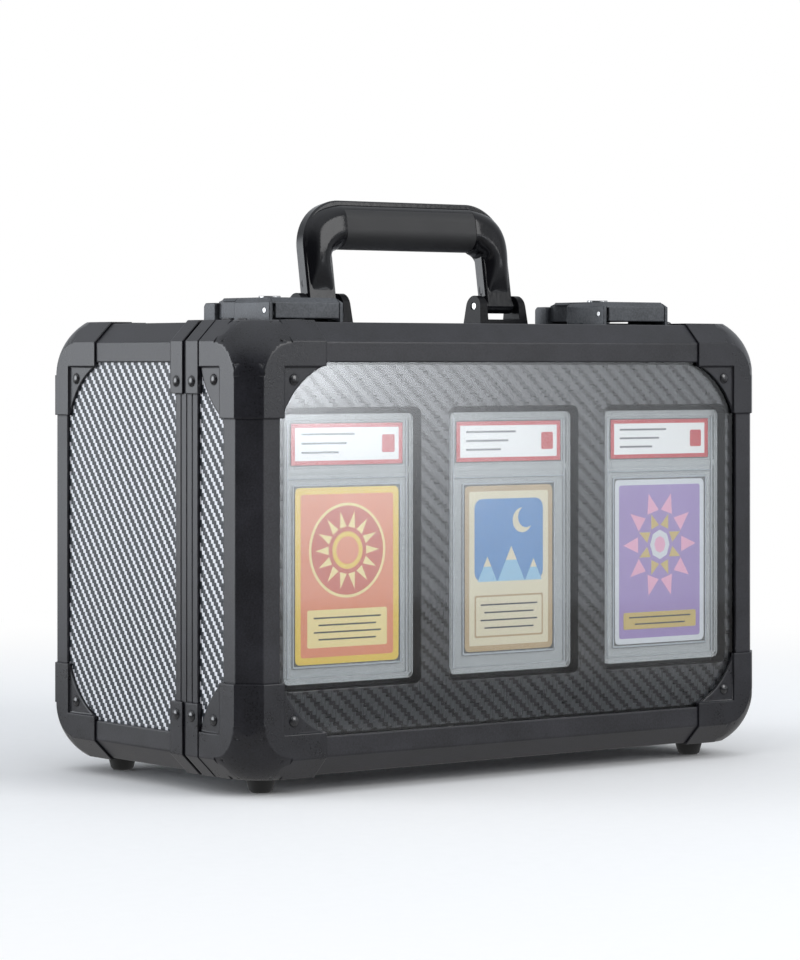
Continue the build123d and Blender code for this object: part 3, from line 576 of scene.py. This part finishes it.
class CASE_OT_finishes(bpy.types.Operator):
    """Make the materials of the case"""
    bl_idname = "card_case.finishes"
    bl_label = "Finishes"

    def execute(self, context):
        tints = colours()
        size = sizes()
        # The black parts, latches and brackets get painted shade in their seams and steps.
        black = {
            "grain": 1100.0, "depth": 0.00005, "spread": 0.5,
            "shade_reach": size.seam_shade, "edge": size.soft_edge,
        }
        grained("coated profile", tints.profile, roughness=0.36, **black)
        grained("pressed steel", tints.steel, roughness=0.3, **black)
        grained("dark rivet", tints.rivet, roughness=0.16, grain=1800.0, depth=0.00001, shine=0.8)
        grained(
            "cast latch", tints.latch, roughness=0.42, grain=900.0, depth=0.00006,
            metallic=0.25, spread=0.4, shade_reach=size.seam_shade, edge=size.soft_edge,
        )
        grained(
            "cast bracket", tints.bracket, roughness=0.3, grain=900.0, depth=0.00006,
            spread=0.4, shade_reach=size.seam_shade, shine=0.12,
        )
        grained(
            "moulded handle", tints.handle, roughness=0.16, grain=300.0, depth=0.00006,
            spread=0.1, shine=0.34,
        )
        grained(
            "grip sleeve", tints.grip, roughness=0.55, grain=2800.0, depth=0.00012, spread=0.15
        )
        grained("foot rubber", tints.rubber, roughness=0.6, grain=1500.0, depth=0.0001)
        grained(
            "bright steel", tints.bright, roughness=0.2, grain=2600.0, depth=0.00001,
            metallic=1.0, spread=0.06,
        )
        grained(
            "cut foam", tints.foam, roughness=0.92, grain=1300.0, depth=0.0004,
            spread=0.35, edge=size.foam_round,
        )
        for name, axes in (("side", "YZ"), ("level", "YX"), ("rear", "XZ")):
            woven(
                name + " weave", axes, (size.side_tow, size.side_tow_rise),
                tints.tow_sheen, tints.tow_dark, gloss=0.34, depth=0.00006,
                share=size.light_share, tow_shade_tone=0.85,
            )
        board = woven(
            "tray weave", "XZ", (size.tray_tow, size.tray_tow_rise),
            tints.tray_tow_sheen, tints.tray_dark, gloss=0.3, depth=0.00005,
            share=0.6, tow_shade_tone=0.8, lean="ADD",
        )
        lacquered_tray(board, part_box("display_tray")[0].y)
        clear(
            "clear window", tints.window, roughness=0.02, depth=0.0001,
            shadow_tint=(0.96, 0.97, 0.97),
        )
        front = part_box("slab_left")[0].y
        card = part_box("card_left")[1].y
        # Each cloud starts at one depth, is full at the next and scatters a share of the light.
        clouds = (
            (front + 0.5 * MM, front + 0.3 * MM, 0.015),
            (card, card + 0.1 * MM, 0.075),
            (front + 1.0 * MM, front + 0.9 * MM, 0.015),
        )
        clear(
            "clear slab", tints.slab, roughness=0.08, depth=0.00015,
            shadow_tint=(0.97, 0.98, 0.98), hazes=clouds,
        )
        printed("label border", tints.label_border)
        printed("label paper", tints.label_paper)
        printed("pale ink", tints.ink)
        printed("slab highlight line", tints.slab_highlight)
        return {"FINISHED"}


class CASE_OT_panels(bpy.types.Operator):
    """Finish the woven panels and the clear window"""
    bl_idname = "card_case.panels"
    bl_label = "Panels and window"

    def execute(self, context):
        edge = sizes().panel_edge
        for owner in ("lid", "main"):
            for side in ("left", "right"):
                dressed(owner + "_side_panel_" + side, "side weave", edge)
            for level in ("top", "bottom"):
                dressed(owner + "_" + level + "_panel", "level weave", edge)
        dressed("rear_panel", "rear weave", edge)
        dressed("window", "clear window", edge)
        return {"FINISHED"}


class CASE_OT_profiles(bpy.types.Operator):
    """Finish the edge profiles, the mouth frames and the clips"""
    bl_idname = "card_case.profiles"
    bl_label = "Profiles and frames"

    def execute(self, context):
        for node in ("front_edges", "rear_edges", "lid_corner_edges", "main_corner_edges"):
            dressed(node, "coated profile", sizes().profile_edge)
        for node in ("lid_mouth_frame", "main_mouth_frame"):
            dressed(node, "coated profile", 0)
        for node in ("lid_clips", "main_clips"):
            dressed(node, "pressed steel", 0)
        return {"FINISHED"}


class CASE_OT_caps(bpy.types.Operator):
    """Finish the eight pressed corner caps"""
    bl_idname = "card_case.caps"
    bl_label = "Corner caps"

    def execute(self, context):
        for end in ("front", "rear"):
            for level in ("bottom", "top"):
                for side in ("left", "right"):
                    node = "_".join((end, "cap", level, side))
                    dressed(node, "pressed steel", 0, shaping=draw_steps, reach=BALL_MERGE)
        return {"FINISHED"}


def islands(mesh):
    """Boxes of the separate solids in a mesh."""
    waiting = set(mesh.verts)
    boxes = []
    while waiting:
        start = waiting.pop()
        group = [start]
        reached = [start]
        while reached:
            for link in reached.pop().link_edges:
                for vert in link.verts:
                    if vert in waiting:
                        waiting.remove(vert)
                        group.append(vert)
                        reached.append(vert)
        low = Vector([min(vert.co[axis] for vert in group) for axis in range(3)])
        high = Vector([max(vert.co[axis] for vert in group) for axis in range(3)])
        boxes.append((low, high))
    return boxes


def outward_face(low, high):
    """Axis and sign of the side of the case that a rivet stands on."""
    shell_low, shell_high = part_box("front_edges")
    rear_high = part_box("rear_edges")[1]
    limits = [(shell_low.x, shell_high.x), (shell_low.y, rear_high.y), (shell_low.z, shell_high.z)]
    best = None
    for axis, (first, last) in enumerate(limits):
        for sign, proud in ((-1, first - low[axis]), (1, high[axis] - last)):
            if best is None or proud > best[0]:
                best = (proud, axis, sign)
    return best[1], best[2]


class CASE_OT_rivets(bpy.types.Operator):
    """Put a domed head on every rivet"""
    bl_idname = "card_case.rivets"
    bl_label = "Rivets"

    def execute(self, context):
        radius = sizes().rivet_radius
        rise = sizes().rivet_rise
        for owner in ("lid", "main"):
            heads = bmesh.new()
            source = merged_copy(owner + "_rivets")
            for low, high in islands(source):
                axis, sign = outward_face(low, high)
                spot = (low + high) / 2
                spot[axis] = (high[axis] if sign > 0 else low[axis]) - sign * rise
                flat = [radius / rise] * 3
                flat[axis] = 1.0
                dome = bmesh.ops.create_uvsphere(heads, u_segments=20, v_segments=12, radius=rise)
                turn = Matrix.Rotation(pi / 2, 3, "XYZ"[(axis + 1) % 3])
                if axis != 2:
                    bmesh.ops.rotate(heads, cent=(0, 0, 0), matrix=turn, verts=dome["verts"])
                bmesh.ops.scale(heads, vec=flat, verts=dome["verts"])
                bmesh.ops.translate(heads, vec=spot, verts=dome["verts"])
            source.free()
            piece = add_piece(
                "rivet_domes_" + owner, heads, owner, "rivet_steel", finish_named("dark rivet")
            )
            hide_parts(owner + "_rivets")
        return {"FINISHED"}


class CASE_OT_feet(bpy.types.Operator):
    """Finish the tapered feet"""
    bl_idname = "card_case.feet"
    bl_label = "Feet"

    def execute(self, context):
        for node in ("lid_feet", "main_feet"):
            dressed(node, "foot rubber", sizes().profile_edge, segments=3)
        return {"FINISHED"}


class CASE_OT_handle(bpy.types.Operator):
    """Finish the handle, its grip sleeve and its brackets"""
    bl_idname = "card_case.handle"
    bl_label = "Handle"

    def execute(self, context):
        edge = sizes().handle_edge
        dressed("handle_frame", "moulded handle", edge, segments=3)
        dressed("handle_grip", "grip sleeve", edge, segments=3)
        for side in ("left", "right"):
            dressed("handle_bracket_" + side, "cast bracket", sizes().latch_edge)
        dressed("handle_pins", "bright steel", sizes().panel_edge)
        return {"FINISHED"}


class CASE_OT_latches(bpy.types.Operator):
    """Finish the latches, their pins and their key locks"""
    bl_idname = "card_case.latches"
    bl_label = "Latches"

    def execute(self, context):
        edge = sizes().latch_edge
        for side in ("left", "right"):
            for part in ("latch_base_", "latch_cover_", "latch_catch_"):
                dressed(part + side, "cast latch", edge)
            dressed("lock_cylinder_" + side, "bright steel", edge / 2)
        dressed("latch_pins", "bright steel", edge / 2)
        return {"FINISHED"}


class CASE_OT_hinges(bpy.types.Operator):
    """Finish the butt hinges below the case"""
    bl_idname = "card_case.hinges"
    bl_label = "Hinges"

    def execute(self, context):
        for node in ("hinge_lid_leaves", "hinge_main_leaves"):
            dressed(node, "pressed steel", 0)
        dressed("hinge_pins", "bright steel", sizes().panel_edge)
        return {"FINISHED"}


class CASE_OT_tray(bpy.types.Operator):
    """Finish the woven display tray and the pad behind it"""
    bl_idname = "card_case.tray"
    bl_label = "Display tray"

    def execute(self, context):
        dressed("display_tray", "tray weave", sizes().foam_round / 2, segments=3)
        pad = dressed("tray_pad", "cut foam", 0)
        return {"FINISHED"}


class CASE_OT_foam(bpy.types.Operator):
    """Finish the foam with its wells for loose slabs"""
    bl_idname = "card_case.foam"
    bl_label = "Foam insert"

    def execute(self, context):
        foam = dressed("foam_insert", "cut foam", 0)
        return {"FINISHED"}


def layer(mesh, shape, size, centre, front, depth, index, turn=0.0, corner=0.0):
    """A thin upright plate: a rectangle, or a disc with a number of sides."""
    if shape == "rectangle":
        made = bmesh.ops.create_grid(mesh, x_segments=1, y_segments=1, size=0.5)
    else:
        made = bmesh.ops.create_circle(mesh, cap_ends=True, radius=0.5, segments=shape)
    verts = made["verts"]
    bmesh.ops.scale(mesh, vec=(size[0], size[1], 1), verts=verts)
    if corner:
        cut = bmesh.ops.bevel(
            mesh, geom=verts, offset=corner, segments=4, profile=0.5, affect="VERTICES", material=-1
        )
        verts = cut["verts"]
    upright = Matrix.Rotation(pi / 2, 3, "X") @ Matrix.Rotation(turn, 3, "Z")
    bmesh.ops.rotate(mesh, cent=(0, 0, 0), matrix=upright, verts=verts)
    bmesh.ops.translate(mesh, vec=(centre[0], front, centre[1]), verts=verts)
    faces = list({face for vert in verts for face in vert.link_faces})
    grown = bmesh.ops.extrude_face_region(mesh, geom=faces)
    rear = [item for item in grown["geom"] if isinstance(item, bmesh.types.BMVert)]
    bmesh.ops.translate(mesh, vec=(0, depth, 0), verts=rear)
    for vert in set(verts) | set(rear):
        for face in vert.link_faces:
            face.material_index = index


def frame_line(mesh, low, high, margin, width, front, depth):
    """Four thin strips in a rectangle that stands a margin outside a box."""
    centre = ((low.x + high.x) / 2, (low.z + high.z) / 2)
    across = high.x - low.x + 2 * margin
    up = high.z - low.z + 2 * margin
    for sign in (-1, 1):
        beside = (centre[0] + sign * across / 2, centre[1])
        layer(mesh, "rectangle", (width, up), beside, front, depth, 0)
        level = (centre[0], centre[1] + sign * up / 2)
        layer(mesh, "rectangle", (across - width, width), level, front, depth, 0)


class CASE_OT_slabs(bpy.types.Operator):
    """Finish the clear slabs, and draw light lines inside them as painted highlights of their moulded
    edges
    """
    bl_idname = "card_case.slabs"
    bl_label = "Slabs"

    def execute(self, context):
        step = sizes().print_layer
        card_gap = 1.2 * MM
        card_line = 0.7 * MM
        rim_inset = 3.2 * MM
        rim_line = 0.45 * MM
        shelf_rise = 4.5 * MM
        shelf_inset = 7 * MM
        shelf_line = 0.5 * MM
        # Painted highlights: thin light strips round each card, inside each rim and above each card,
        # where the moulded edges catch light.
        lines = bmesh.new()
        for place in ("left", "centre", "right"):
            dressed("slab_" + place, "clear slab", sizes().slab_edge)
            low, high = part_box("slab_" + place)
            card_low, card_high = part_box("card_" + place)
            front = card_low.y + step
            frame_line(lines, card_low, card_high, card_gap, card_line, front, 2 * step)
            frame_line(lines, low, high, -rim_inset, rim_line, front, 2 * step)
            shelf = ((low.x + high.x) / 2, card_high.z + shelf_rise)
            across = high.x - low.x - shelf_inset
            layer(lines, "rectangle", (across, shelf_line), shelf, front, 2 * step, 0)
        bmesh.ops.recalc_face_normals(lines, faces=lines.faces)
        finish = finish_named("slab highlight line")
        add_piece("painted_slab_highlights", lines, "lid", slot_of["slab_left"], finish, smooth=False)
        return {"FINISHED"}


class Press:
    """Prints a design on a card or a label, each level one layer nearer to the viewer."""

    def __init__(self, mesh, low, high, corner=0.0):
        self.mesh = mesh
        self.step = sizes().print_layer
        self.centre = ((low.x + high.x) / 2, (low.z + high.z) / 2)
        self.width = high.x - low.x
        self.height = high.z - low.z
        self.face = low.y + BURIED_LAYERS * self.step
        outline = (self.width, self.height)
        thickness = high.y - self.face
        layer(mesh, "rectangle", outline, self.centre, self.face, thickness, EDGE, 0.0, corner)

    def block(self, size, spot, level, ink, corner=0.0):
        """A rectangle, with its corners rounded by a radius."""
        front = self.face - level * self.step
        layer(self.mesh, "rectangle", size, spot, front, self.step, ink, 0.0, corner)

    def form(self, sides, size, spot, level, ink, turn=0.0):
        """A triangle, an octagon or a round form, stretched to a size."""
        front = self.face - level * self.step
        layer(self.mesh, sides, size, spot, front, self.step, ink, turn)

    def rules(self, spot, level, count, first, drop, wide, shorter):
        """Plain rules below one another, with every other one shorter."""
        thick = 0.8 * MM
        for row in range(count):
            place = (spot[0], spot[1] + first - drop * row)
            self.block((wide - shorter * (row % 2), thick), place, level, RULE)


def sun_card(press):
    """A medallion with rays in a round frame, over a plain field of rules."""
    x, z = press.centre
    margin = 7 * MM
    rays = 14
    ray_reach = 14.5 * MM
    ray_size = (5 * MM, 11 * MM)
    press.block((press.width - margin, press.height - margin), press.centre, 1, FIELD, 1.5 * MM)
    sun = (x, z + press.height * 0.14)
    press.form(LARGE_ROUND, (48 * MM, 48 * MM), sun, 2, PALE)
    press.form(LARGE_ROUND, (45 * MM, 45 * MM), sun, 3, FORM)
    for ray in range(rays):
        angle = 2 * pi * ray / rays
        tip = (x + ray_reach * cos(angle), sun[1] + ray_reach * sin(angle))
        press.form(TRIANGLE, ray_size, tip, 4, PALE, angle - pi / 2)
    press.form(SMALL_ROUND, (19 * MM, 19 * MM), sun, 5, EDGE)
    press.form(SMALL_ROUND, (14 * MM, 14 * MM), sun, 6, FIELD)
    foot = (x, z - press.height * 0.3)
    press.block((50 * MM, 19 * MM), foot, 2, PALE, 1 * MM)
    press.rules(foot, 3, count=4, first=5.4 * MM, drop=3.6 * MM, wide=42 * MM, shorter=6 * MM)


def hill_card(press):
    """An arched window with a moon over stepped hills, above a plain box of rules."""
    x, z = press.centre
    margin = 6 * MM
    wide = press.width - 13 * MM
    steepness = 1.15
    snow = 0.4
    press.block((press.width - margin, press.height - margin), press.centre, 1, PALE, 1 * MM)
    high = z + press.height * 0.17
    press.block((wide, 43 * MM), (x, high), 2, FIELD, 5 * MM)
    press.form(SMALL_ROUND, (13 * MM, 13 * MM), (x + 9 * MM, high + 10 * MM), 3, PALE)
    press.form(SMALL_ROUND, (11 * MM, 11 * MM), (x + 11.6 * MM, high + 11.6 * MM), 4, FIELD)
    for place, size in ((-14.5 * MM, 15 * MM), (1.5 * MM, 21 * MM), (16.5 * MM, 13 * MM)):
        hill = (x + place, high - 21.5 * MM + size * steepness / 4)
        press.form(TRIANGLE, (size, size * steepness), hill, 3, FORM)
        peak = (hill[0], hill[1] + size * steepness * (1 - snow) / 2)
        press.form(TRIANGLE, (size * snow, size * steepness * snow), peak, 4, PALE)
    foot = (x, z - press.height * 0.29)
    press.block((wide, 22 * MM), foot, 2, EDGE, 1 * MM)
    press.block((wide - 2 * MM, 20 * MM), foot, 3, PALE, 1 * MM)
    press.rules(foot, 4, count=4, first=6 * MM, drop=4 * MM, wide=wide - 8 * MM, shorter=5 * MM)


def facet_card(press):
    """A fan of cut facets in a tall field, with a plain strip below."""
    x, z = press.centre
    margin = 6 * MM
    taller = 1.15
    slender = 0.7
    rings = (
        {"count": 10, "reach": 19 * MM, "size": 14 * MM, "ink": PALE},
        {"count": 8, "reach": 11 * MM, "size": 10 * MM, "ink": FORM},
    )
    press.block((press.width - margin, press.height - margin), press.centre, 1, FIELD, 1.5 * MM)
    high = z + press.height * 0.1
    for number, ring in enumerate(rings):
        facet = (ring["size"] * slender, ring["size"])
        for part in range(ring["count"]):
            angle = 2 * pi * (part + number / 2) / ring["count"]
            across = ring["reach"] * cos(angle)
            up = ring["reach"] * taller * sin(angle)
            press.form(TRIANGLE, facet, (x + across, high + up), 2 + number, ring["ink"], angle - pi / 2)
    press.form(OCTAGON, (14 * MM, 16 * MM), (x, high), 4, EDGE)
    press.form(OCTAGON, (8 * MM, 9 * MM), (x, high), 5, PALE)
    foot = (x, z - press.height * 0.36)
    press.block((press.width - 12 * MM, 9 * MM), foot, 5, FORM, 1 * MM)
    wide = press.width - 20 * MM
    press.rules(foot, 6, count=2, first=1.8 * MM, drop=3.6 * MM, wide=wide, shorter=8 * MM)


class CASE_OT_cards(bpy.types.Operator):
    """Make the cards, with plain designs in printed layers"""
    bl_idname = "card_case.cards"
    bl_label = "Cards"

    def execute(self, context):
        designs = {"left": sun_card, "centre": hill_card, "right": facet_card}
        for place, design in designs.items():
            node = "card_" + place
            low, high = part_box(node)
            mesh = bmesh.new()
            design(Press(mesh, low, high, corner=3 * MM))
            bmesh.ops.recalc_face_normals(mesh, faces=mesh.faces)
            inks = []
            for number, tint in enumerate(CARD_TINTS[place]):
                inks.append(printed(node + " ink " + str(number + 1), tint))
            piece = add_piece("printed_" + node, mesh, body_of[node], slot_of[node], *inks, smooth=False)
            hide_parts(node)
        return {"FINISHED"}


class CASE_OT_labels(bpy.types.Operator):
    """Make the slab labels, with a coloured border and plain rules"""
    bl_idname = "card_case.labels"
    bl_label = "Labels"

    def execute(self, context):
        border_sides = 5 * MM
        border_ends = 4.4 * MM
        rules = 3
        rules_left = 28.5 * MM
        rules_top = 5 * MM
        rules_drop = 4.6 * MM
        longest = 33 * MM
        shorter = 5 * MM
        rule_thick = 1 * MM
        block_size = (8 * MM, 9 * MM)
        block_share = 0.37
        mesh = bmesh.new()
        source = merged_copy("slab_labels")
        for low, high in islands(source):
            press = Press(mesh, low, high)
            x, z = press.centre
            paper = (press.width - border_sides, press.height - border_ends)
            press.block(paper, press.centre, 1, FIELD)
            for row in range(rules):
                wide = longest - shorter * row
                spot = (x - rules_left + wide / 2, z + rules_top - rules_drop * row)
                press.block((wide, rule_thick), spot, 2, PALE)
            press.block(block_size, (x + press.width * block_share, z), 2, EDGE, 1 * MM)
        source.free()
        bmesh.ops.recalc_face_normals(mesh, faces=mesh.faces)
        names = ("label border", "label paper", "pale ink")
        inks = [finish_named(name) for name in names]
        piece = add_piece("printed_labels", mesh, "lid", slot_of["slab_labels"], *inks, smooth=False)
        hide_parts("slab_labels")
        return {"FINISHED"}


def glow(sky, direction, inner, outer, strength):
    """Brightness of one large soft light, by the angle from its direction."""
    turn = sky.vector("DOT_PRODUCT", sky.place, Vector(direction).normalized())["Value"]
    angle = sky.math("ARCCOSINE", turn)
    return sky.spread(angle, radians(outer), radians(inner), 0.0, strength, smooth=True)


def window_glare(sky, direction, reach, flatten, strength):
    """Brightness of the pale glare in the window, which fades faster up and down than across."""
    offset = sky.vector("SUBTRACT", sky.place, Vector(direction).normalized())["Vector"]
    squeeze = (1 / reach, 1 / reach, flatten / reach)
    squeezed = sky.vector("MULTIPLY", offset, squeeze)["Vector"]
    far = sky.vector("LENGTH", squeezed)["Value"]
    fade = sky.math("EXPONENT", sky.math("MULTIPLY", far, -1))
    return sky.math("MULTIPLY", fade, strength)


def make_sky(scene):
    """White behind everything for the camera, and soft light for every other ray."""
    world = bpy.data.worlds.new("studio")
    scene.world = world
    world.use_nodes = True
    sky = Wiring(world.node_tree, "Generated")
    total = SKY_STRENGTH
    for light in SOFT_LIGHTS:
        total = sky.math("ADD", total, glow(sky, **light))
    total = sky.math("ADD", total, window_glare(sky, **GLARE))
    lit = sky.tree.nodes["Background"]
    lit.inputs["Color"].default_value = SKY_TINT
    sky.feed(lit.inputs["Strength"], total)
    white = sky.add("ShaderNodeBackground")
    white.inputs["Color"].default_value = (1, 1, 1, 1)
    seen = sky.add("ShaderNodeLightPath").outputs["Is Camera Ray"]
    shown = sky.blend(seen, lit.outputs[0], white.outputs[0])
    sky.feed(sky.tree.nodes["World Output"].inputs["Surface"], shown)


def make_floor(scene):
    """Pale floor that fades to white round the case, and that reflections see as a glow with painted
    shade, darkest a short way from the case.
    """
    ground = bmesh.new()
    bmesh.ops.create_circle(ground, cap_ends=True, radius=FLOOR_RADIUS, segments=96)
    data = bpy.data.meshes.new("floor")
    ground.to_mesh(data)
    ground.free()
    floor = bpy.data.objects.new("floor", data)
    scene.collection.objects.link(floor)
    recipe = Recipe("pale floor")
    grain = recipe.noise(FLOOR_GRAIN, detail=2.0)
    recipe.set("Base Color", recipe.mix(grain, *FLOOR_TINTS))
    recipe.set("Roughness", 0.7)
    recipe.set("Specular IOR Level", 0.1)
    far = recipe.vector("LENGTH", recipe.place)["Value"]
    fade = recipe.spread(far, low=0.35, high=1.1, to_low=0.0, to_high=1.0, smooth=True)
    # Painted glow and shade: glossy rays see the floor as an emission whose strength is set by the
    # distance from the case.
    nearer = recipe.spread(far, low=0.28, high=0.4, to_low=0.45, to_high=0.12, smooth=True)
    farther = recipe.spread(far, low=0.5, high=0.9, to_low=0.0, to_high=0.3, smooth=True)
    reflected_floor_glow = recipe.math("ADD", nearer, farther)
    mirrored = recipe.add("ShaderNodeLightPath").outputs["Is Glossy Ray"]
    plain = recipe.add("ShaderNodeEmission")
    recipe.feed(plain.inputs["Strength"], recipe.spread(mirrored, 0, 1, 1, reflected_floor_glow))
    share = recipe.math("MAXIMUM", fade, mirrored)
    recipe.show(recipe.blend(share, recipe.shader.outputs[0], plain.outputs[0]))
    data.materials.append(recipe.material)


def make_lamp(scene, name, spot, size, power):
    """A square lamp that faces the case. Only the fill light shows in reflections."""
    lamp = bpy.data.lights.new(name, "AREA")
    lamp.size = size
    lamp.energy = power
    item = bpy.data.objects.new(name, lamp)
    item.location = spot
    towards = Vector(LAMP_TARGET) - Vector(spot)
    item.rotation_euler = towards.to_track_quat("-Z", "Y").to_euler()
    item.visible_glossy = name == "fill light"
    scene.collection.objects.link(item)


class CASE_OT_studio(bpy.types.Operator):
    """Make the floor, the soft studio light and the camera"""
    bl_idname = "card_case.studio"
    bl_label = "Studio"

    def execute(self, context):
        scene = context.scene
        scene.view_settings.view_transform = "Standard"
        make_sky(scene)
        make_floor(scene)
        for lamp in LAMPS:
            make_lamp(scene, **lamp)
        eye = bpy.data.cameras.new("photo view")
        eye.lens = EYE_LENS
        eye.shift_y = EYE_SHIFT
        eye.clip_start = EYE_NEAREST
        viewer = bpy.data.objects.new("photo view", eye)
        viewer.location = EYE_SPOT
        viewer.rotation_euler = (radians(90), 0, EYE_TURN)
        scene.collection.objects.link(viewer)
        scene.camera = viewer
        return {"FINISHED"}


class CASE_PT_panel(bpy.types.Panel):
    """Sidebar panel with the sizes, the colours and the steps"""
    bl_label = "Graded card case"
    bl_idname = "CASE_PT_panel"
    bl_space_type = "VIEW_3D"
    bl_region_type = "UI"
    bl_category = "Card case"

    def draw(self, context):
        layout = self.layout
        for group in (context.scene.case_sizes, context.scene.case_colours):
            column = layout.column(align=True)
            for name in group.__annotations__:
                column.prop(group, name)
        for step in STEPS:
            layout.operator(step.bl_idname)


STEPS = (
    CASE_OT_finishes,
    CASE_OT_panels,
    CASE_OT_profiles,
    CASE_OT_caps,
    CASE_OT_rivets,
    CASE_OT_feet,
    CASE_OT_handle,
    CASE_OT_latches,
    CASE_OT_hinges,
    CASE_OT_tray,
    CASE_OT_foam,
    CASE_OT_slabs,
    CASE_OT_cards,
    CASE_OT_labels,
    CASE_OT_studio,
)
CLASSES = (CaseSizes, CaseColours, *STEPS, CASE_PT_panel)


def register():
    for item in CLASSES:
        bpy.utils.register_class(item)
    bpy.types.Scene.case_sizes = PointerProperty(type=CaseSizes)
    bpy.types.Scene.case_colours = PointerProperty(type=CaseColours)


def unregister():
    del bpy.types.Scene.case_colours
    del bpy.types.Scene.case_sizes
    for item in reversed(CLASSES):
        bpy.utils.unregister_class(item)


def main():
    """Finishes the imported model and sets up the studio."""
    register()
    bpy.ops.card_case.finishes()
    bpy.ops.card_case.panels()
    bpy.ops.card_case.profiles()
    bpy.ops.card_case.caps()
    bpy.ops.card_case.rivets()
    bpy.ops.card_case.feet()
    bpy.ops.card_case.handle()
    bpy.ops.card_case.latches()
    bpy.ops.card_case.hinges()
    bpy.ops.card_case.tray()
    bpy.ops.card_case.foam()
    bpy.ops.card_case.slabs()
    bpy.ops.card_case.cards()
    bpy.ops.card_case.labels()
    bpy.ops.card_case.studio()


if __name__ == "__main__":
    main()
